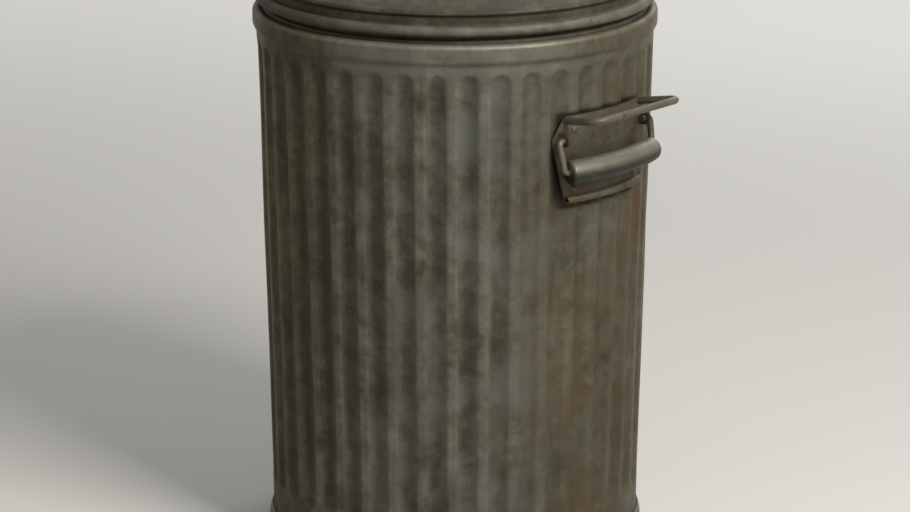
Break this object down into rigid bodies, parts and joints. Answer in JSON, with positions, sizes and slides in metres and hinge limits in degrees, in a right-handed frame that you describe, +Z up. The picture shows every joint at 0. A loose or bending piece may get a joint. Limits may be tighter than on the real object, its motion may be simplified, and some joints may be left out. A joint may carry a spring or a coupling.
{
  "type": "metal trash can",
  "caption": "Tapered, fluted sheet-steel trash can with a collared, wired rim, a domed plug-in lid with a strap handle, and drop handles with rolled grips under fixed rod loops.",
  "frame": {"origin": "on the floor at the can's axis", "axes": "+Z up along the can's axis, +X half a flute (4.5 degrees) to the right drop handle's front side; the two handles mirror in the YZ plane"},
  "size_m": [0.537, 0.4468, 0.7015],
  "materials": {
    "galvanised_wall": "weathered galvanised sheet",
    "foot_band": "weathered galvanised band",
    "galvanised_lid": "weathered galvanised sheet",
    "plain_wire": "plain drawn wire",
    "handle_plate": "stained galvanised plate",
    "handle_rod": "worn steel rod",
    "worn_grip": "steel polished by hands",
    "lid_strap": "worn galvanised strap",
    "rivets": "plain steel rivet"
  },
  "bodies": {
    "can": {"body_shell": "galvanised_wall", "bottom_pan": "galvanised_wall", "base_hoop": "foot_band", "rim_wire": "plain_wire", "right_handle_plate": "handle_plate", "left_handle_plate": "handle_plate", "right_stop_loop": "handle_rod", "left_stop_loop": "handle_rod", "right_plate_rivets": "rivets", "left_plate_rivets": "rivets", "right_plate_washers": "rivets", "left_plate_washers": "rivets"},
    "lid": {"lid_cover": "galvanised_lid", "lid_skirt": "galvanised_lid", "lid_rim_wire": "plain_wire", "lid_handle": "lid_strap", "lid_handle_rivets": "rivets", "lid_handle_washers": "rivets"},
    "right_bail": {"right_bail": "handle_rod", "right_grip": "worn_grip"},
    "left_bail": {"left_bail": "handle_rod", "left_grip": "worn_grip"}
  },
  "joints": [
    {"name": "lid_lift", "type": "slide", "parent": "can", "child": "lid", "axis": [0, 0, 1], "range_m": [0, 0.3]},
    {"name": "right_bail_swing", "type": "hinge", "parent": "can", "child": "right_bail", "pos_m": [0.21337, 0.01679, 0.497], "axis": [0.0785, -0.9969, 0], "range_deg": [0, 81]},
    {"name": "left_bail_swing", "type": "hinge", "parent": "can", "child": "left_bail", "pos_m": [-0.21337, 0.01679, 0.497], "axis": [0.0785, 0.9969, 0], "range_deg": [0, 81]}
  ]
}
